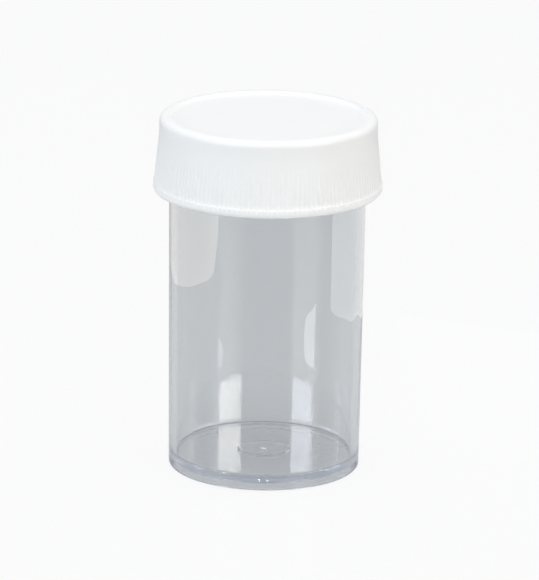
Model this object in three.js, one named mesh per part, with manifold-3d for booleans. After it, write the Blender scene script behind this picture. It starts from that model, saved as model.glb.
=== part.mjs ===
// Slide staining jar: a clear straight-sided jar with a ribbed screw cap and a sealing disc.
// Millimetres, +Z up. The origin is on the jar's axis, in the plane that the foot stands on.
import * as THREE from 'three';
import { mergeGeometries, mergeVertices } from 'three/addons/utils/BufferGeometryUtils.js';
import Module from 'manifold-3d';

const wasm = await Module();
wasm.setup();

// ---------- Jar ----------
const neckRadius = 27;            // outside, from the rim down to the bottom of the cap
const wallDraft = 0.6;            // how much smaller the outside radius is at the foot, so the mould lets go
const jarHeight = 96;             // foot to rim
const rimWall = 1.85;             // wall thickness at the rim
const baseWall = 2.05;            // wall thickness at the floor
const footHeight = 1.8;           // hollow under the floor
const floorThickness = 2.2;
const floorFillet = 0.5;          // inside corner between floor and wall
const footRingWidth = 2;          // where it stands
const footRingSlope = 0.6;        // how much thicker the ring is where it meets the floor
const footEdgeRadius = 0.6;
const rimEdgeRadius = 0.45;
const gateDiscRadius = 7;         // raised round pad in the middle of the floor
const gateDiscRise = 0.35;
const gateNubRadius = 0.9;        // stub left under the pad where the plastic was fed in
const gateNubLength = 0.7;

// ---------- Screw thread, 58 mm closure finish ----------
const threadPitch = 5.08;         // five turns to the inch
const jarThreadTurns = 1.5;
const capThreadTurns = 1.25;
const threadDepth = 1.1;
const threadRootWidth = 2.3;
const threadCrestWidth = 1;
const threadBelowRim = 2.4;       // rim to the middle of the jar thread's upper end
const threadRunOutAngle = 0.6;    // radians over which a thread sinks into its wall at each end
const threadSink = 0.2;           // how far a thread's root is buried in its wall
const radialClearance = 0.35;     // thread crest to the wall that it turns against
const flankClearance = 0.3;       // between the two threads where the closed cap pulls down

// ---------- Cap ----------
const capHeight = 21;
const capWall = 1.42;             // at the top of the side
const capFlare = 1.33;            // how much wider the side is just above the band
const capStraightHeight = 5;      // upright stretch of the side below the rim
const capBendRadius = 30;         // soft bend from the upright stretch to the flared one
const capPlate = 1.6;             // thickness of the top panel
const panelRecess = 0.8;          // panel below the raised rim
const capRimWidth = 3;
const capRimEdgeRadius = 1.7;
const panelEdgeWidth = 0.7;       // width of the slope from the rim down to the panel
const panelEdgeRadius = 0.2;
const bandHeight = 2.3;           // smooth band round the bottom
const bandProud = 0.25;
const bandEdgeRadius = 1;
const lipChamfer = 0.5;           // lead-in inside the bottom edge
const ribCount = 144;
const ribGrooveDepth = 0.2;       // at the band
const ribGrooveWidth = 0.84;      // at the band, across the surface
const smoothSideHeight = 6.95;    // from the cap's top down to where the grooves run out

// ---------- Sealing disc ----------
const linerThickness = 1;
const linerClearance = 0.25;      // round the disc's edge

// ---------- Fineness ----------
const roundSegments = 72;
const arcStep = Math.PI / 6;      // largest turn between two points of a rounded corner
const helixStep = Math.PI / 36;
const helixDivisions = 720;       // for measuring along a thread

// ---------- Sizes that follow ----------
const footRadius = neckRadius - wallDraft;
const floorTop = footHeight + floorThickness;
const threadCrestRadius = neckRadius + threadDepth;
const capBore = threadCrestRadius + radialClearance;
const capTopRadius = capBore + capWall;
const capSideRadius = capTopRadius + capFlare;
const capSeat = jarHeight + linerThickness;       // underside of the cap's panel
const capTop = capPlate + panelRecess;            // in the cap's own frame, which starts at the seat
const capBottom = capTop - capHeight;
const bandTop = capBottom + bandHeight;
const ribBottom = bandTop + bandProud;
const ribLength = capTop - smoothSideHeight - ribBottom;

// Rounds each corner [radius, height, fillet] of an outline and gives the points of the result.
function roundedOutline(corners) {
  const points = [];
  corners.forEach(([r, z, fillet = 0], i) => {
    const corner = new THREE.Vector2(r, z);
    if (fillet === 0) {
      points.push(corner);
      return;
    }
    const before = new THREE.Vector2(...corners[i - 1]).sub(corner).normalize();
    const after = new THREE.Vector2(...corners[i + 1]).sub(corner).normalize();
    const halfAngle = before.angleTo(after) / 2;
    const toCentre = before.clone().add(after).normalize().multiplyScalar(fillet / Math.sin(halfAngle));
    const centre = corner.clone().add(toCentre);
    const reach = fillet / Math.tan(halfAngle);
    const start = before.multiplyScalar(reach).add(corner).sub(centre);
    const end = after.multiplyScalar(reach).add(corner).sub(centre);
    const turn = Math.PI - 2 * halfAngle;
    const steps = Math.max(2, Math.ceil(turn / arcStep));
    const side = Math.sign(start.cross(end));
    for (let k = 0; k <= steps; k += 1) {
      points.push(start.clone().rotateAround(new THREE.Vector2(), side * turn * k / steps).add(centre));
    }
  });
  return points;
}

// A closed three.js geometry as a solid that can be joined and cut.
function solidOf(geometry) {
  const bare = geometry.clone();
  bare.deleteAttribute('normal');
  bare.deleteAttribute('uv');
  const merged = mergeVertices(bare);
  const triangles = [];
  for (let k = 0; k < merged.index.count; k += 3) {
    const [a, b, c] = [0, 1, 2].map((j) => merged.index.getX(k + j));
    if (a !== b && b !== c && c !== a) triangles.push(a, b, c);
  }
  return new wasm.Manifold(new wasm.Mesh({
    numProp: 3,
    vertProperties: new Float32Array(merged.attributes.position.array),
    triVerts: new Uint32Array(triangles),
  }));
}

function geometryOf(solid) {
  const mesh = solid.getMesh();
  const geometry = new THREE.BufferGeometry();
  geometry.setAttribute('position', new THREE.BufferAttribute(mesh.vertProperties, 3));
  geometry.setIndex(new THREE.BufferAttribute(mesh.triVerts, 1));
  geometry.computeVertexNormals();
  return geometry;
}

// An outline that runs from the axis at the bottom, round the outside and back to the axis, turned round +Z.
function turned(corners) {
  const lathe = new THREE.LatheGeometry(roundedOutline(corners), roundSegments);
  lathe.rotateX(Math.PI / 2);
  return solidOf(lathe);
}

// The middle line of a thread at its root. A positive drop sinks the ends towards the axis, and a negative
// one away from it.
class ThreadLine extends THREE.Curve {
  constructor(rootRadius, drop, startHeight, turns) {
    super();
    this.arcLengthDivisions = helixDivisions;
    Object.assign(this, { rootRadius, drop, startHeight, turns });
  }

  getPoint(t, target = new THREE.Vector3()) {
    const angle = t * this.turns * 2 * Math.PI;
    const toNearerEnd = Math.min(t, 1 - t) * this.turns * 2 * Math.PI;
    const sunk = 1 - Math.min(1, toNearerEnd / threadRunOutAngle);
    const radius = this.rootRadius - this.drop * sunk;
    const height = this.startHeight + threadPitch * t * this.turns;
    return target.set(radius * Math.cos(angle), radius * Math.sin(angle), height);
  }

  // Keeps the thread's section upright and pointing at the axis.
  computeFrenetFrames(segments) {
    const frames = { tangents: [], normals: [], binormals: [] };
    for (let k = 0; k <= segments; k += 1) {
      const point = this.getPointAt(k / segments);
      const outward = new THREE.Vector3(point.x, point.y, 0).normalize();
      frames.normals.push(outward);
      frames.binormals.push(new THREE.Vector3(0, 0, -1));
      frames.tangents.push(new THREE.Vector3(-outward.y, outward.x, 0));
    }
    return frames;
  }
}

// A thread of trapezoid section. outward is 1 for a thread on a neck and -1 for one in a bore.
function thread(rootRadius, startHeight, turns, outward) {
  const section = new THREE.Shape([
    new THREE.Vector2(-outward * threadSink, -threadRootWidth / 2),
    new THREE.Vector2(0, -threadRootWidth / 2),
    new THREE.Vector2(outward * threadDepth, -threadCrestWidth / 2),
    new THREE.Vector2(outward * threadDepth, threadCrestWidth / 2),
    new THREE.Vector2(0, threadRootWidth / 2),
    new THREE.Vector2(-outward * threadSink, threadRootWidth / 2),
  ]);
  const line = new ThreadLine(rootRadius, outward * threadDepth, startHeight, turns);
  const steps = Math.round(turns * 2 * Math.PI / helixStep);
  return solidOf(new THREE.ExtrudeGeometry(section, { steps, extrudePath: line, bevelEnabled: false }));
}

const jarThreadStart = jarHeight - threadBelowRim - jarThreadTurns * threadPitch;

function jarGeometry() {
  const underDisc = footHeight + gateDiscRise;
  const discTop = floorTop + gateDiscRise;
  const discFoot = gateDiscRadius + gateDiscRise;
  const footInner = footRadius - footRingWidth;
  const body = turned([
    [0, underDisc - gateNubLength],
    [gateNubRadius, underDisc - gateNubLength],
    [gateNubRadius, underDisc],
    [gateDiscRadius, underDisc],
    [discFoot, footHeight],
    [footInner - footRingSlope, footHeight],
    [footInner, 0],
    [footRadius, 0, footEdgeRadius],
    [neckRadius, capSeat + capBottom],
    [neckRadius, jarHeight, rimEdgeRadius],
    [neckRadius - rimWall, jarHeight, rimEdgeRadius],
    [footRadius - baseWall, floorTop, floorFillet],
    [discFoot, floorTop],
    [gateDiscRadius, discTop],
    [0, discTop],
  ]);
  return geometryOf(body.add(thread(neckRadius, jarThreadStart, jarThreadTurns, 1)));
}

// Tapered grooves between the ribs: deepest at the band, and run out at the surface higher up.
function ribGrooves() {
  const flareHeight = capTop - capStraightHeight - ribBottom;
  const surfaceLean = Math.atan(capFlare / flareHeight);
  const lean = surfaceLean - Math.atan(ribGrooveDepth / ribLength);
  // A V that stands as far out of the surface as it cuts in, so it is ribGrooveWidth wide at the surface.
  const section = new THREE.Shape([
    new THREE.Vector2(-ribGrooveDepth, 0),
    new THREE.Vector2(ribGrooveDepth, -ribGrooveWidth),
    new THREE.Vector2(ribGrooveDepth, ribGrooveWidth),
  ]);
  const groove = new THREE.ExtrudeGeometry(section, { depth: ribLength, bevelEnabled: false });
  groove.rotateY(-lean);
  groove.translate(capSideRadius, 0, ribBottom);
  const ribAngle = 2 * Math.PI / ribCount;
  const grooves = Array.from({ length: ribCount }, (_, k) => groove.clone().rotateZ((k + 0.5) * ribAngle));
  return solidOf(mergeGeometries(grooves));
}

function capGeometry() {
  const panelRadius = capTopRadius - capRimWidth;
  const bandRadius = capSideRadius + bandProud;
  const body = turned([
    [0, 0],
    [capBore, 0],
    [capBore, capBottom + lipChamfer],
    [capBore + lipChamfer, capBottom],
    [bandRadius, capBottom, bandEdgeRadius],
    [bandRadius, bandTop],
    [capSideRadius, ribBottom],
    [capTopRadius, capTop - capStraightHeight, capBendRadius],
    [capTopRadius, capTop, capRimEdgeRadius],
    [panelRadius, capTop, panelEdgeRadius],
    [panelRadius - panelEdgeWidth, capPlate],
    [0, capPlate],
  ]);
  const flankRise = (threadRootWidth - threadCrestWidth) / 2;
  const flankSlope = flankRise / threadDepth;
  const middlesApartTouching = (threadRootWidth + threadCrestWidth) / 2 - flankSlope * radialClearance;
  const middlesApart = middlesApartTouching + flankClearance * Math.hypot(1, flankSlope);
  const start = jarThreadStart - middlesApart - capSeat;
  return geometryOf(body.subtract(ribGrooves()).add(thread(capBore, start, capThreadTurns, -1)));
}

function linerGeometry() {
  return geometryOf(turned([
    [0, 0],
    [capBore - linerClearance, 0],
    [capBore - linerClearance, linerThickness],
    [0, linerThickness],
  ]));
}

const clearPolystyrene = new THREE.MeshStandardMaterial({
  color: 0xd8dde2, roughness: 0.05, metalness: 0, transparent: true, opacity: 0.35,
});
const whitePolypropylene = new THREE.MeshStandardMaterial({ color: 0xf3f5f5, roughness: 0.4, metalness: 0 });
const whiteFoam = new THREE.MeshStandardMaterial({ color: 0xf0f0ec, roughness: 0.8, metalness: 0 });

function piece(name, geometry, material, height) {
  const mesh = new THREE.Mesh(geometry, material);
  mesh.name = name;
  mesh.position.z = height;
  return mesh;
}

const slideStainingJar = new THREE.Group();
slideStainingJar.add(
  piece('jar', jarGeometry(), clearPolystyrene, 0),
  piece('cap_liner', linerGeometry(), whiteFoam, jarHeight),
  piece('screw_cap', capGeometry(), whitePolypropylene, capSeat),
);

export default slideStainingJar;
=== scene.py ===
# %% [markdown]
# # A slide staining jar
# Microscope slides stand in this jar while a stain works on them. It is two injection mouldings, a clear
# polystyrene jar and a white polypropylene screw cap, with a sealing disc of foam between them. The frame
# that is loaded here holds the real sizes, and every piece below is drawn to them.

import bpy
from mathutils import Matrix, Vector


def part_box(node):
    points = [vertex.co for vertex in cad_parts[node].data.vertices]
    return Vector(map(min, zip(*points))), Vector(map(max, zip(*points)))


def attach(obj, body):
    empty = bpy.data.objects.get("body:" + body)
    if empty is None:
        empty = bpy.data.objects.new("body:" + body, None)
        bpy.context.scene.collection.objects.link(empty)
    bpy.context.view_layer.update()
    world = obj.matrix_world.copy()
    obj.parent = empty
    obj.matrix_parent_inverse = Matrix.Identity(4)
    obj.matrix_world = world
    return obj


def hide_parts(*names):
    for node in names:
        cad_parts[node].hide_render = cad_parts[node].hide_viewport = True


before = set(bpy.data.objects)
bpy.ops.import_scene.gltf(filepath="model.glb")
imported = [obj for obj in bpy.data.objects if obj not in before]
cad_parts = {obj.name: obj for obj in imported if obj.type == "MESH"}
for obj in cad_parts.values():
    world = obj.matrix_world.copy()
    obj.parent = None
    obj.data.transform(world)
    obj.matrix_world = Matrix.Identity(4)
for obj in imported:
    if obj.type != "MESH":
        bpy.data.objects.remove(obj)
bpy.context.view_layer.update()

# %% Sizes that come from the frame
import math

import bpy
from mathutils import Vector

MM = 0.001
jar_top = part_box("jar")[1]
cap_bottom, cap_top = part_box("screw_cap")
liner_bottom, liner_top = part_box("cap_liner")

# %% [markdown]
# ## Where the camera stands
# The camera looks a little down on the jar, so that both the cap's top and the jar's floor show. A long
# lens from well back keeps the sides of the jar nearly parallel. A camera could also be aimed by a
# constraint, but a written place and direction stay the same whatever is added later.

# %% Camera
CAMERA_DISTANCE = 1.39
CAMERA_ELEVATION = math.radians(16.33)
CAMERA_ROLL = math.radians(0.885)
LOOK_HEIGHT = 50 * MM           # on the jar's axis
AIM_RIGHT = 0.93 * MM
AIM_DOWN = 0.39 * MM
CAMERA_LENS = 312.9             # with a 36 mm sensor
SENSOR_WIDTH = 36

camera_back = Vector((0, -math.cos(CAMERA_ELEVATION), math.sin(CAMERA_ELEVATION)))
camera_up = Vector((0, math.sin(CAMERA_ELEVATION), math.cos(CAMERA_ELEVATION)))
look_at = Vector((0, 0, LOOK_HEIGHT))
camera_place = look_at + CAMERA_DISTANCE * camera_back
aim = look_at + Vector((AIM_RIGHT, 0, 0)) - AIM_DOWN * camera_up
bpy.ops.object.select_all(action="DESELECT")
camera_turn = (aim - camera_place).to_track_quat("-Z", "Y").to_euler()
bpy.ops.object.camera_add(location=camera_place, rotation=camera_turn)
camera = bpy.context.object
camera.rotation_euler.rotate_axis("Z", CAMERA_ROLL)
camera.data.lens = CAMERA_LENS
camera.data.sensor_width = SENSOR_WIDTH
bpy.context.scene.camera = camera
bpy.context.scene.view_settings.view_transform = "Standard"
print("camera at", camera_place[:])

# %% [markdown]
# ## How far light is followed
# Light that enters the edge of clear plastic runs on inside it, as in a glass fibre, and leaves after many
# turns. A path that is cut short comes back black, and would draw dark arcs round the foot of the jar. A
# high limit costs little here, because few paths need it.

# %% Bounces
BOUNCES = 160

cycles = bpy.context.scene.cycles
cycles.max_bounces = cycles.transmission_bounces = cycles.glossy_bounces = BOUNCES
print("paths may turn", cycles.max_bounces, "times")

# %% [markdown]
# ## Turned shapes
# The jar and the cap are round, so each is drawn as half of its section and spun about the axis, as a
# template shapes clay on a wheel. Cylinders could be stacked and joined instead, but a spun section keeps
# long clean rings of faces, and clear plastic shows every crease in its mesh. Corners are rounded while
# they are still points of the outline. Beside each rounding an extra point holds the flat next to it flat
# when it is shaded.

# %% Draw an outline
HOLD = 0.25 * MM                # from a rounding to the point that holds the flat beside it
HOLD_ROOM = 0.45                # share of a side, past which there is no room for such a point
SAME_PLACE = 1e-6               # points nearer than this are one point


def select_points(mesh, test):
    """Selects only the vertices that pass the test."""
    bpy.ops.mesh.select_all(action="DESELECT")
    bpy.ops.object.mode_set(mode="OBJECT")
    for vertex in mesh.vertices:
        vertex.select = test(vertex.co)
    bpy.ops.object.mode_set(mode="EDIT")


def setback(before, corner, after, radius):
    """How far from a corner a rounding of that radius starts."""
    into = Vector(corner) - Vector(before)
    out = Vector(after) - Vector(corner)
    return radius * math.tan(into.angle(out) / 2)


def drawn(name, corners, arc_points=6):
    """A wire outline in the XZ plane. A corner is (radius, height) or (radius, height, rounding)."""
    places = [corner[:2] for corner in corners]
    points, roundings = [], []
    for i, place in enumerate(places):
        if len(corners[i]) == 2:
            points.append(place)
            continue
        reach = setback(places[i - 1], place, places[i + 1], corners[i][2])
        roundings.append((place, reach))
        for neighbour in (places[i - 1], None, places[i + 1]):
            if neighbour is None:
                points.append(place)
                continue
            share = (reach + HOLD) / math.dist(neighbour, place)
            if share < HOLD_ROOM:
                points.append(tuple(a + (b - a) * share for a, b in zip(place, neighbour)))
    bpy.ops.object.select_all(action="DESELECT")
    bpy.ops.mesh.primitive_plane_add(size=MM)
    piece = bpy.context.object
    piece.name = piece.data.name = name
    bpy.ops.object.mode_set(mode="EDIT")
    bpy.ops.mesh.select_mode(type="VERT")
    bpy.ops.mesh.select_all(action="SELECT")
    bpy.ops.mesh.merge(type="CENTER")
    here = (0, 0)
    for i, (radius, height) in enumerate(points):
        if i:
            bpy.ops.mesh.extrude_region_move()
        bpy.ops.transform.translate(value=(radius - here[0], 0, height - here[1]))
        here = (radius, height)
    for (radius, height), reach in roundings:
        select_points(piece.data, lambda co: math.dist((co.x, co.z), (radius, height)) < SAME_PLACE)
        bpy.ops.mesh.bevel(offset=reach, segments=arc_points, affect="VERTICES")
    return piece


# %% Spin it
def spun(piece, steps, copies=False):
    """Spins what is being edited once round the axis, as a surface or as copies, and closes it."""
    bpy.ops.mesh.select_all(action="SELECT")
    bpy.ops.mesh.spin(steps=steps, dupli=copies, angle=2 * math.pi, center=(0, 0, 0), axis=(0, 0, 1))
    bpy.ops.mesh.select_all(action="SELECT")
    bpy.ops.mesh.remove_doubles(threshold=SAME_PLACE)
    bpy.ops.mesh.normals_make_consistent(inside=False)
    bpy.ops.object.mode_set(mode="OBJECT")
    print(piece.name, len(piece.data.polygons), "faces")


# %% [markdown]
# ## The screw threads
# Each thread is a trapezoid carried round and up by a Screw modifier. A coil of separate wedges could be
# built instead, but the modifier keeps the pitch exact. Both ends are moved into the wall that the thread
# stands on, as a moulded thread runs out, and then a Boolean modifier joins the thread to that wall.

# %% Wind one thread
PITCH = 5.08 * MM               # five turns to the inch
THREAD_DEPTH = 1.1 * MM
ROOT_WIDTH = 2.3 * MM
CREST_WIDTH = 1.0 * MM
CREST_ROUNDING = 0.15 * MM
THREAD_SINK = 0.2 * MM          # how far the root is buried in the wall
RUN_OUT = 0.6                   # radians over which an end sinks away
THREAD_STEPS = 144              # per turn


def thread(name, root_radius, start_height, turns, outward):
    """A closed ridge that starts over the X axis, on a neck (outward 1) or in a bore (outward -1)."""
    crest_radius = root_radius + outward * THREAD_DEPTH
    buried_radius = root_radius - outward * THREAD_SINK
    ridge = drawn(name, [
        (buried_radius, start_height - ROOT_WIDTH / 2),
        (root_radius, start_height - ROOT_WIDTH / 2),
        (crest_radius, start_height - CREST_WIDTH / 2, CREST_ROUNDING),
        (crest_radius, start_height + CREST_WIDTH / 2, CREST_ROUNDING),
        (root_radius, start_height + ROOT_WIDTH / 2),
        (buried_radius, start_height + ROOT_WIDTH / 2),
    ], arc_points=3)
    bpy.ops.mesh.select_all(action="SELECT")
    bpy.ops.mesh.edge_face_add()
    bpy.ops.mesh.delete(type="ONLY_FACE")
    bpy.ops.object.mode_set(mode="OBJECT")
    steps = round(turns * THREAD_STEPS)
    screw = ridge.modifiers.new("wind", "SCREW")
    screw.angle = turns * 2 * math.pi
    screw.screw_offset = turns * PITCH
    screw.steps = screw.render_steps = steps
    bpy.ops.object.modifier_apply(modifier=screw.name)
    bpy.ops.object.mode_set(mode="EDIT")
    step_angle = turns * 2 * math.pi / steps
    for k in range(steps + 1):
        to_end = min(k, steps - k) * step_angle
        if to_end >= RUN_OUT:
            continue
        angle = k * step_angle
        height = start_height + PITCH * angle / (2 * math.pi)
        select_points(ridge.data, lambda co: (
            abs(math.remainder(math.atan2(co.y, co.x) - angle, 2 * math.pi)) < step_angle / 2
            and abs(co.z - height) < PITCH / 2))
        drop = -outward * THREAD_DEPTH * (1 - to_end / RUN_OUT)
        bpy.ops.transform.translate(value=(drop * math.cos(angle), drop * math.sin(angle), 0))
    bpy.ops.mesh.select_all(action="DESELECT")
    bpy.ops.mesh.select_non_manifold()
    bpy.ops.mesh.edge_face_add()
    bpy.ops.mesh.select_all(action="SELECT")
    bpy.ops.mesh.normals_make_consistent(inside=False)
    bpy.ops.object.mode_set(mode="OBJECT")
    print(name, len(ridge.data.polygons), "faces")
    return ridge


# %% Join a thread to its wall
SMOOTH_BELOW = math.radians(50)     # edges sharper than this stay sharp


def join(piece, ridge):
    """Makes the thread one with its wall, and shades the piece smooth between its sharp edges."""
    union = piece.modifiers.new("join", "BOOLEAN")
    union.operation = "UNION"
    union.solver = "EXACT"
    union.object = ridge
    bpy.ops.object.select_all(action="DESELECT")
    bpy.context.view_layer.objects.active = piece
    piece.select_set(True)
    bpy.ops.object.modifier_apply(modifier=union.name)
    bpy.data.objects.remove(ridge)
    bpy.ops.object.shade_smooth_by_angle(angle=SMOOTH_BELOW)
    print(piece.name, len(piece.data.polygons), "faces with its thread")


# %% [markdown]
# ## The jar
# The jar is one moulding: a straight wall that narrows a little towards the foot, so that the mould lets
# go, a flat floor held off the bench by a foot ring, and a round pad where the plastic was fed in, with the
# broken stub of the feed under it. It could be a tube with a Solidify modifier, but then its walls would be
# the same thickness everywhere, and it is the foot and the inside corner that bend the light. The inner
# face of the ring leans a little, which keeps the floor clear of stray dark reflections.

# %% Jar
JAR_STEPS = 256
JAR_TURNS = 1.5
THREAD_BELOW_RIM = 2.4 * MM     # rim to the middle of the thread's upper end
DRAFT = 0.6 * MM                # foot smaller than neck
RIM_WALL = 1.85 * MM
BASE_WALL = 2.05 * MM
RIM_EDGE = 0.45 * MM
FOOT_HEIGHT = 1.8 * MM          # hollow under the floor
FLOOR_THICKNESS = 2.2 * MM
FLOOR_FILLET = 0.5 * MM
FOOT_RING = 2.0 * MM            # where it stands
FOOT_SLOPE = 0.6 * MM           # how much thicker the ring is where it meets the floor
FOOT_EDGE = 0.6 * MM
FOOT_INNER_EDGE = 0.3 * MM
PAD_RADIUS = 7.0 * MM
PAD_RISE = 0.35 * MM
PAD_EDGE = 0.2 * MM
STUB_RADIUS = 0.9 * MM
STUB_LENGTH = 0.7 * MM

neck_radius = jar_top.x - THREAD_DEPTH
foot_radius = neck_radius - DRAFT
foot_inside = foot_radius - FOOT_RING
floor_top = FOOT_HEIGHT + FLOOR_THICKNESS
pad_bottom = FOOT_HEIGHT + PAD_RISE
pad_top = floor_top + PAD_RISE
jar = drawn("clear_jar", [
    (0, pad_bottom - STUB_LENGTH),
    (STUB_RADIUS, pad_bottom - STUB_LENGTH),
    (STUB_RADIUS, pad_bottom),
    (PAD_RADIUS, pad_bottom, PAD_EDGE),
    (PAD_RADIUS + PAD_RISE, FOOT_HEIGHT, PAD_EDGE),
    (foot_inside - FOOT_SLOPE, FOOT_HEIGHT),
    (foot_inside, 0, FOOT_INNER_EDGE),
    (foot_radius, 0, FOOT_EDGE),
    (neck_radius, cap_bottom.z),
    (neck_radius, jar_top.z, RIM_EDGE),
    (neck_radius - RIM_WALL, jar_top.z, RIM_EDGE),
    (foot_radius - BASE_WALL, floor_top, FLOOR_FILLET),
    (PAD_RADIUS + PAD_RISE, floor_top, PAD_EDGE),
    (PAD_RADIUS, pad_top, PAD_EDGE),
    (0, pad_top),
])
spun(jar, JAR_STEPS)
jar_thread_start = jar_top.z - THREAD_BELOW_RIM - JAR_TURNS * PITCH
join(jar, thread("jar_thread", neck_radius, jar_thread_start, JAR_TURNS, 1))

# %% [markdown]
# ## The cap
# The cap is a second moulding. Its side is upright under the rounded rim, bends softly into a flare and
# ends in a smooth band, and the top panel is sunk a little inside the rim. The flare has fine upright ribs
# for the fingers, deepest at the band and run out higher up. Grooves could be cut by Booleans, one for each
# rib, but that would leave ragged shading. Here the section is spun through one rib's angle only, the
# groove is drawn inwards in that slice, and the slice is copied round.

# %% One slice of the cap
CAP_WALL = 1.42 * MM            # at the top of the side
CAP_FLARE = 1.33 * MM
CAP_STRAIGHT = 5.0 * MM         # upright stretch below the rim
CAP_BEND = 30 * MM
CAP_PLATE = 1.6 * MM
CAP_RIM_WIDTH = 3.0 * MM
CAP_RIM_EDGE = 1.7 * MM
PANEL_SLOPE = 0.7 * MM          # from the rim down to the panel
PANEL_EDGE = 0.3 * MM
BAND_HEIGHT = 2.3 * MM
BAND_PROUD = 0.25 * MM
BAND_EDGE = 1.0 * MM
LIP_CHAMFER = 0.5 * MM
RADIAL_CLEARANCE = 0.35 * MM    # thread crest to the wall that it turns against
RIB_COUNT = 144
STEPS_PER_RIB = 6
RIB_ROWS = 12

cap_bore = neck_radius + THREAD_DEPTH + RADIAL_CLEARANCE
cap_top_radius = cap_bore + CAP_WALL
cap_side_radius = cap_top_radius + CAP_FLARE
band_radius = cap_side_radius + BAND_PROUD
band_top = cap_bottom.z + BAND_HEIGHT
rib_bottom = band_top + BAND_PROUD
bend_height = cap_top.z - CAP_STRAIGHT
panel_height = liner_top.z + CAP_PLATE
panel_radius = cap_top_radius - CAP_RIM_WIDTH
cap = drawn("ribbed_cap", [
    (0, liner_top.z),
    (cap_bore, liner_top.z),
    (cap_bore, cap_bottom.z + LIP_CHAMFER),
    (cap_bore + LIP_CHAMFER, cap_bottom.z),
    (band_radius, cap_bottom.z, BAND_EDGE),
    (band_radius, band_top),
    (cap_side_radius, rib_bottom),
    (cap_top_radius, bend_height, CAP_BEND),
    (cap_top_radius, cap_top.z, CAP_RIM_EDGE),
    (panel_radius, cap_top.z, PANEL_EDGE),
    (panel_radius - PANEL_SLOPE, panel_height, PANEL_EDGE),
    (0, panel_height),
])
flare_top = bend_height - setback(
    (cap_side_radius, rib_bottom), (cap_top_radius, bend_height), (cap_top_radius, cap_top.z), CAP_BEND)
select_points(cap.data, lambda co: co.x > cap_top_radius and rib_bottom - SAME_PLACE < co.z < flare_top)
bpy.ops.mesh.subdivide(number_cuts=RIB_ROWS)
bpy.ops.mesh.select_all(action="SELECT")
rib_angle = 2 * math.pi / RIB_COUNT
# With no window a positive angle would turn the slice clockwise.
bpy.ops.mesh.spin(steps=STEPS_PER_RIB, angle=-rib_angle, center=(0, 0, 0), axis=(0, 0, 1))

# %% Draw the groove inwards, then copy the slice round
GROOVE_DEPTH = 0.2 * MM         # at the band
SMOOTH_SIDE = 6.95 * MM         # from the cap's top down to where the grooves run out
GROOVE_SHAPE = {2: 0.6, 3: 1.0, 4: 0.6}     # depth at each step between two ribs, as a share

rib_top = cap_top.z - SMOOTH_SIDE
bpy.ops.object.mode_set(mode="OBJECT")
rows = sorted({round(v.co.z, 7) for v in cap.data.vertices
               if v.co.xy.length > cap_top_radius and rib_bottom - SAME_PLACE < v.co.z < rib_top})
bpy.ops.object.mode_set(mode="EDIT")
for height in rows:
    for step, share in GROOVE_SHAPE.items():
        angle = rib_angle * step / STEPS_PER_RIB
        select_points(cap.data, lambda co: (
            co.xy.length > cap_top_radius and abs(co.z - height) < SAME_PLACE
            and abs(math.atan2(co.y, co.x) - angle) < rib_angle / STEPS_PER_RIB / 2))
        depth = GROOVE_DEPTH * share * math.sqrt((rib_top - height) / (rib_top - rib_bottom))
        bpy.ops.transform.translate(value=(-depth * math.cos(angle), -depth * math.sin(angle), 0))
print("groove drawn in at", len(rows), "heights")
spun(cap, RIB_COUNT, copies=True)

# %% The cap's thread
CAP_TURNS = 1.25
FLANK_CLEARANCE = 0.3 * MM      # between the two threads where the closed cap pulls down

flank_slope = (ROOT_WIDTH - CREST_WIDTH) / 2 / THREAD_DEPTH
threads_apart = ((ROOT_WIDTH + CREST_WIDTH) / 2 - flank_slope * RADIAL_CLEARANCE
                 + FLANK_CLEARANCE * math.hypot(1, flank_slope))
join(cap, thread("cap_thread", cap_bore, jar_thread_start - threads_apart, CAP_TURNS, -1))

# %% [markdown]
# ## The sealing disc
# A disc of polyethylene foam lies loose under the cap's panel and is pressed on the jar's rim. It is
# punched from sheet, so its faces are flat and its edge is cut square. A cylinder is its whole shape, and
# small bevels take the knife-sharp look off the cut edges.

# %% Sealing disc
DISC_EDGE = 0.12 * MM
DISC_STEPS = 192
FLAT = 0.9                      # a face whose normal rises more than this lies flat

bpy.ops.object.select_all(action="DESELECT")
bpy.ops.mesh.primitive_cylinder_add(
    vertices=DISC_STEPS, radius=liner_top.x, depth=liner_top.z - liner_bottom.z,
    location=(0, 0, (liner_bottom.z + liner_top.z) / 2))
disc = bpy.context.object
disc.name = disc.data.name = "foam_disc"
bpy.ops.object.transform_apply(location=True)
bpy.ops.object.mode_set(mode="EDIT")
bpy.ops.mesh.select_mode(type="FACE")
bpy.ops.mesh.select_all(action="DESELECT")
bpy.ops.object.mode_set(mode="OBJECT")
for face in disc.data.polygons:
    face.select = abs(face.normal.z) > FLAT
bpy.ops.object.mode_set(mode="EDIT")
bpy.ops.mesh.bevel(offset=DISC_EDGE, segments=3, affect="EDGES")
bpy.ops.mesh.select_all(action="DESELECT")
bpy.ops.object.mode_set(mode="OBJECT")
for face in disc.data.polygons:
    face.select = abs(face.normal.z) > FLAT and len(face.vertices) > 4
bpy.ops.object.mode_set(mode="EDIT")
bpy.ops.mesh.inset(thickness=HOLD, use_individual=True)
bpy.ops.object.mode_set(mode="OBJECT")
bpy.ops.object.shade_smooth_by_angle(angle=SMOOTH_BELOW)
print("disc", len(disc.data.polygons), "faces")

# %% [markdown]
# ## Tools for the materials
# Colours are written as they look on a screen, and one function turns them into the linear values that
# shaders work in. Nodes could be added and linked line by line. One helper that takes a node's settings and
# inputs keeps each material short enough to read.

# %% Colours and nodes
def linear(hex_colour):
    """An sRGB hex colour as a linear RGBA tuple."""
    channels = [int(hex_colour[i:i + 2], 16) / 255 for i in (1, 3, 5)]
    return (*[c / 12.92 if c <= 0.04045 else ((c + 0.055) / 1.055) ** 2.4 for c in channels], 1)


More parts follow.
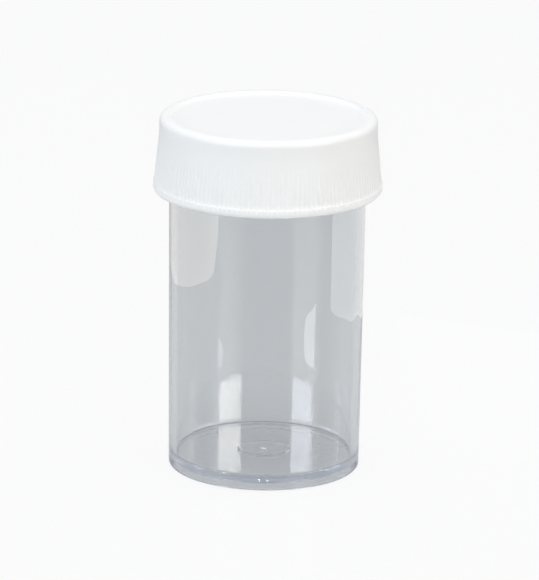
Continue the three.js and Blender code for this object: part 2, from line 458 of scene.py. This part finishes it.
def add(tree, kind, inputs=None, **settings):
    """Adds a node. An input is a value or the output that it is linked to."""
    node = tree.nodes.new(kind)
    for name, value in settings.items():
        setattr(node, name, value)
    for name, value in (inputs or {}).items():
        if isinstance(value, bpy.types.NodeSocket):
            tree.links.new(value, node.inputs[name])
        else:
            node.inputs[name].default_value = value
    return node


def material(name):
    """An empty material and its node tree."""
    made = bpy.data.materials.new(name)
    made.use_nodes = True
    made.node_tree.nodes.clear()
    return made, made.node_tree


def finish_piece(piece, made, body, node):
    """Gives a piece its material, and says what it moves with and stands for."""
    piece.data.materials.clear()
    piece.data.materials.append(made)
    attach(piece, body)
    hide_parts(node)
    print(piece.name, "is", made.name, "and rides on", body)


# %% [markdown]
# ## Clear polystyrene
# The jar is crystal polystyrene, injected into a polished mould. It is glass clear and glossy, it bends
# light more than acrylic does, and a trace of blue toner hides its yellow cast. The plastic flowed up the
# wall as it filled the mould, which left faint upright streaks. They could be modelled, but they are a few
# thousandths of a millimetre deep, so a bump stretched along the wall stands for them. The blue is an
# absorption, so the thin wall stays clear and the long way through the floor turns bluish. Rays from the
# lamps pass straight through the shader, because a path tracer finds the real way through two curved walls
# only by chance.

# %% Clear polystyrene
STREAK_WIDTH = 2.2 * MM
STREAK_LENGTH = 60 * MM
STREAK_DEPTH = 0.020 * MM       # drawn several times too deep, to show
TONER_TINT = (0.55, 0.60, 0.74, 1)
TONER_DENSITY = 15.0            # per metre

clear_polystyrene, tree = material("crystal_polystyrene")
place = add(tree, "ShaderNodeTexCoord").outputs["Object"]
streak_place = add(tree, "ShaderNodeMapping", {
    "Vector": place, "Scale": (1 / STREAK_WIDTH, 1 / STREAK_WIDTH, 1 / STREAK_LENGTH)})
streaks = add(tree, "ShaderNodeTexNoise", {
    "Vector": streak_place.outputs["Vector"], "Scale": 1.0, "Detail": 2.0})
streak_bump = add(tree, "ShaderNodeBump", {
    "Height": streaks.outputs["Fac"], "Strength": 1.0, "Distance": STREAK_DEPTH})
plastic = add(tree, "ShaderNodeBsdfPrincipled", {
    "Base Color": linear("#f4f5f6"), "Roughness": 0.0, "IOR": 1.59, "Transmission Weight": 1.0,
    "Normal": streak_bump.outputs["Normal"]})
lamp_way = add(tree, "ShaderNodeBsdfTransparent", {"Color": linear("#f9fafb")})
is_lamp_ray = add(tree, "ShaderNodeLightPath").outputs["Is Shadow Ray"]
surface = add(tree, "ShaderNodeMixShader", {0: is_lamp_ray, 1: plastic.outputs[0], 2: lamp_way.outputs[0]})
toner = add(tree, "ShaderNodeVolumeAbsorption", {"Color": TONER_TINT, "Density": TONER_DENSITY})
add(tree, "ShaderNodeOutputMaterial", {"Surface": surface.outputs[0], "Volume": toner.outputs[0]})
finish_piece(jar, clear_polystyrene, "jar", "jar")

# %% [markdown]
# ## White polypropylene
# The cap is polypropylene filled with white pigment. It comes out of the mould with a soft satin shine, and
# light goes a little way into it, so its edges look softer than paint would.

# %% White polypropylene
GRAIN_SIZE = 0.5 * MM
GRAIN_DEPTH = 0.004 * MM
GLOW_DEPTH = 1.5 * MM           # how far light spreads under the surface

white_polypropylene, tree = material("satin_polypropylene")
place = add(tree, "ShaderNodeTexCoord").outputs["Object"]
grain = add(tree, "ShaderNodeTexNoise", {"Vector": place, "Scale": 1 / GRAIN_SIZE, "Detail": 3.0})
grain_bump = add(tree, "ShaderNodeBump", {
    "Height": grain.outputs["Fac"], "Strength": 1.0, "Distance": GRAIN_DEPTH})
cap_surface = add(tree, "ShaderNodeBsdfPrincipled", {
    "Base Color": linear("#f3f4f4"), "Roughness": 0.4, "IOR": 1.49, "Subsurface Weight": 0.2,
    "Subsurface Radius": (1.0, 1.0, 1.0), "Subsurface Scale": GLOW_DEPTH,
    "Normal": grain_bump.outputs["Normal"]})
add(tree, "ShaderNodeOutputMaterial", {"Surface": cap_surface.outputs[0]})
finish_piece(cap, white_polypropylene, "cap", "screw_cap")

# %% [markdown]
# ## White foam
# The disc is closed-cell polyethylene foam. Its skin is dull and pebbled by the cells under it, each a few
# tenths of a millimetre across.

# %% White foam
CELL_SIZE = 0.45 * MM
CELL_DEPTH = 0.05 * MM
FOAM_GLOW_DEPTH = 1.0 * MM

white_foam, tree = material("polyethylene_foam")
place = add(tree, "ShaderNodeTexCoord").outputs["Object"]
cells = add(tree, "ShaderNodeTexVoronoi", {"Vector": place, "Scale": 1 / CELL_SIZE})
cell_bump = add(tree, "ShaderNodeBump", {
    "Height": cells.outputs["Distance"], "Strength": 1.0, "Distance": CELL_DEPTH}, invert=True)
foam = add(tree, "ShaderNodeBsdfPrincipled", {
    "Base Color": linear("#f0f0ec"), "Roughness": 0.8, "IOR": 1.51, "Subsurface Weight": 0.3,
    "Subsurface Radius": (1.0, 1.0, 1.0), "Subsurface Scale": FOAM_GLOW_DEPTH,
    "Normal": cell_bump.outputs["Normal"]})
add(tree, "ShaderNodeOutputMaterial", {"Surface": foam.outputs[0]})
finish_piece(disc, white_foam, "liner", "cap_liner")

# %% [markdown]
# ## The floor
# The jar stands on a wide sheet of satin laminate, a cool light grey. The lamps light it, and it also glows
# by itself, but not for the light that falls on the jar. Seen straight it glows white, which gives a pale
# background that still takes a soft shadow. By way of clear plastic it glows in its own grey, less
# strongly.

# %% Floor
FLOOR_SIZE = 8.0
FLOOR_BELOW = 0.05 * MM         # keeps the floor and the foot from fighting for the same plane

bpy.ops.object.select_all(action="DESELECT")
bpy.ops.mesh.primitive_plane_add(size=FLOOR_SIZE, location=(0, 0, -FLOOR_BELOW))
floor = bpy.context.object
floor.name = "floor"
print("floor", FLOOR_SIZE, "m wide")

# %% Laminate that glows
SHEET = linear("#cbcecf")
GLOW_SEEN = 0.9                 # share of glow seen straight
GLOW_BY_PLASTIC = 0.42          # and by way of clear or glossy plastic

pale_floor, tree = material("satin_laminate")
path = add(tree, "ShaderNodeLightPath")
by_plastic = add(tree, "ShaderNodeMath", {
    0: path.outputs["Is Glossy Ray"], 1: path.outputs["Is Transmission Ray"]}, operation="MAXIMUM")
laminate = add(tree, "ShaderNodeBsdfPrincipled", {"Base Color": SHEET, "Roughness": 0.3})
glow_colour = add(tree, "ShaderNodeMix", {
    "Factor": path.outputs["Is Camera Ray"], 6: SHEET, 7: linear("#ffffff")}, data_type="RGBA")
glow = add(tree, "ShaderNodeEmission", {"Color": glow_colour.outputs[2], "Strength": 1.0})
share = add(tree, "ShaderNodeMath", {0: by_plastic.outputs[0], 1: GLOW_BY_PLASTIC}, operation="MULTIPLY")
share = add(tree, "ShaderNodeMath", {
    0: path.outputs["Is Camera Ray"], 1: GLOW_SEEN, 2: share.outputs[0]}, operation="MULTIPLY_ADD")
mixed = add(tree, "ShaderNodeMixShader", {
    0: share.outputs[0], 1: laminate.outputs[0], 2: glow.outputs[0]})
add(tree, "ShaderNodeOutputMaterial", {"Surface": mixed.outputs[0]})
floor.data.materials.append(pale_floor)
print("floor is", pale_floor.name)

# %% [markdown]
# ## The room
# Beyond the floor is a plain pale room. It could be built of walls, but the world's background does the
# same. Its light on the object is even and fairly strong, which keeps the cap's raised rim from standing
# out too brightly. Seen straight or by way of plastic it is near white, and a little darker towards the
# horizon.

# %% Surround
ROOM_LIGHT = 0.7
BACKDROP_LOW = 0.65             # brightness at and below the lower height
BACKDROP_HIGH = 0.9             # and at and above the upper one
BACKDROP_FROM = 0.35            # heights as the sine of the angle above the horizon
BACKDROP_TO = 0.6

surround = bpy.data.worlds.new("surround")
bpy.context.scene.world = surround
surround.use_nodes = True
tree = surround.node_tree
tree.nodes.clear()
path = add(tree, "ShaderNodeLightPath")
by_plastic = add(tree, "ShaderNodeMath", {
    0: path.outputs["Is Glossy Ray"], 1: path.outputs["Is Transmission Ray"]}, operation="MAXIMUM")
seen = add(tree, "ShaderNodeMath", {
    0: path.outputs["Is Camera Ray"], 1: by_plastic.outputs[0]}, operation="MAXIMUM")
room = add(tree, "ShaderNodeBackground", {"Color": linear("#f4f5f6"), "Strength": ROOM_LIGHT})
direction = add(tree, "ShaderNodeTexCoord").outputs["Generated"]
rise = add(tree, "ShaderNodeSeparateXYZ", {"Vector": direction})
brightness = add(tree, "ShaderNodeMapRange", {
    "Value": rise.outputs["Z"], "From Min": BACKDROP_FROM, "From Max": BACKDROP_TO,
    "To Min": BACKDROP_LOW, "To Max": BACKDROP_HIGH})
backdrop = add(tree, "ShaderNodeBackground", {
    "Color": linear("#f8f9fa"), "Strength": brightness.outputs["Result"]})
mixed = add(tree, "ShaderNodeMixShader", {0: seen.outputs[0], 1: room.outputs[0], 2: backdrop.outputs[0]})
add(tree, "ShaderNodeOutputWorld", {"Surface": mixed.outputs[0]})
print("the room lights the object at", ROOM_LIGHT)

# %% [markdown]
# ## The lamps
# Two softboxes stand in front, one on each side, and a third hangs overhead. A softbox's brightness is
# given as it would look in a reflection, where 1 is white, and its power follows from its size. Just behind
# each of the front ones a second lamp lights only clear and glossy things. It brightens the highlights in
# the jar, but not the white cap.

# %% Lamps
LAMPS_AIM = Vector((0, 0, 10 * MM))


def softbox(name, azimuth, elevation, distance, width, height, brightness, colour):
    """An area lamp that faces the foot of the jar. Azimuth 0 is in front and 90 to the right, in degrees."""
    turn, rise = math.radians(azimuth), math.radians(elevation)
    away = Vector((math.sin(turn) * math.cos(rise), -math.cos(turn) * math.cos(rise), math.sin(rise)))
    bpy.ops.object.light_add(type="AREA", location=LAMPS_AIM + distance * away)
    lamp = bpy.context.object
    lamp.name = name
    lamp.rotation_euler = (-away).to_track_quat("-Z", "Y").to_euler()
    lamp.data.shape = "RECTANGLE"
    lamp.data.size = width
    lamp.data.size_y = height
    lamp.data.energy = brightness * math.pi * width * height
    lamp.data.color = linear(colour)[:3]
    print(name, round(lamp.data.energy, 2), "W")
    return lamp


softbox("left_softbox", -53, 17.5, 0.8, 0.41, 0.11, 9.5, "#eef5ff")
softbox("right_softbox", 48, 17.5, 0.8, 0.46, 0.11, 8.4, "#fff8ee")
softbox("left_gleam", -53, 17.5, 0.81, 0.41, 0.11, 0.5, "#ffe4c8").visible_diffuse = False
softbox("right_gleam", 48, 17.5, 0.81, 0.46, 0.11, 4.2, "#fff8ee").visible_diffuse = False
softbox("top_softbox", 0, 82, 1.0, 0.45, 0.45, 5.2, "#ffffff")

# %% [markdown]
# ## The cards
# Low bright cards stand round the jar, out of the picture. Its wall mirrors them, as it would the things in
# a real room: two long fences at the sides, and two small panes in front. They are drawn like the jar's
# section. A fence is laid flat and pulled up from the table, and a pane is filled and turned to face the
# jar.

# %% Cards
CARD_HEIGHT = 40 * MM
CARD_ARC_POINTS = 16


def card_outline(name, corners):
    """An outline in millimetres, drawn and all selected."""
    made = drawn(name, [tuple(value * MM for value in corner) for corner in corners], CARD_ARC_POINTS)
    bpy.ops.mesh.select_all(action="SELECT")
    return made


def shine(made, brightness, brightness_at_back, colour):
    """Makes a card glow, but only in reflections."""
    bpy.ops.object.mode_set(mode="OBJECT")
    made.visible_camera = made.visible_diffuse = made.visible_shadow = made.visible_transmission = False
    backs = [vertex.co.y for vertex in made.data.vertices]
    print(made.name, "from", min(backs), "to", max(backs), "back")
    lit, tree = material(made.name)
    place = add(tree, "ShaderNodeTexCoord").outputs["Object"]
    depth = add(tree, "ShaderNodeSeparateXYZ", {"Vector": place}).outputs["Y"]
    strength = add(tree, "ShaderNodeMapRange", {
        "Value": depth, "From Min": min(backs), "From Max": max(backs),
        "To Min": brightness, "To Max": brightness_at_back})
    glow = add(tree, "ShaderNodeEmission", {"Color": linear(colour), "Strength": strength.outputs["Result"]})
    add(tree, "ShaderNodeOutputMaterial", {"Surface": glow.outputs[0]})
    made.data.materials.append(lit)


def fence(name, corners, brightness, brightness_at_back, colour):
    """An upright card on the table, through corners (right, back) or (right, back, rounding)."""
    made = card_outline(name, corners)
    bpy.ops.transform.rotate(
        value=math.radians(90), orient_axis="X", orient_type="GLOBAL", center_override=(0, 0, 0))
    bpy.ops.mesh.extrude_region_move(TRANSFORM_OT_translate={"value": (0, 0, CARD_HEIGHT)})
    shine(made, brightness, brightness_at_back, colour)


def pane(name, azimuth, distance, corners, brightness, colour):
    """A filled outline with corners (along, up) that faces the jar from an azimuth."""
    made = card_outline(name, corners)
    bpy.ops.mesh.edge_face_add()
    bpy.ops.transform.translate(value=(0, -distance * MM, 0))
    bpy.ops.transform.rotate(
        value=-math.radians(azimuth), orient_axis="Z", orient_type="GLOBAL", center_override=(0, 0, 0))
    shine(made, brightness, brightness, colour)


fence("left_fence", [(-234, -158), (-198, -112, 20), (-219, 39, 210), (-98, 185)], 3.5, 1.0, "#fff8f2")
fence("right_fence", [(285, -36), (181, -40, 6), (168, 30, 60), (120, 112, 50), (40, 146)],
      2.5, 1.0, "#fffefc")
pane("right_pane", 52, 130, [(5, 0), (-24, 3, 8), (-22, 16, 11), (8, 20)], 3.4, "#fffefc")
pane("left_pane", -52, 130, [(0, 0), (13, 1, 5), (12, 7, 5), (0, 10)], 2.6, "#fffefc")
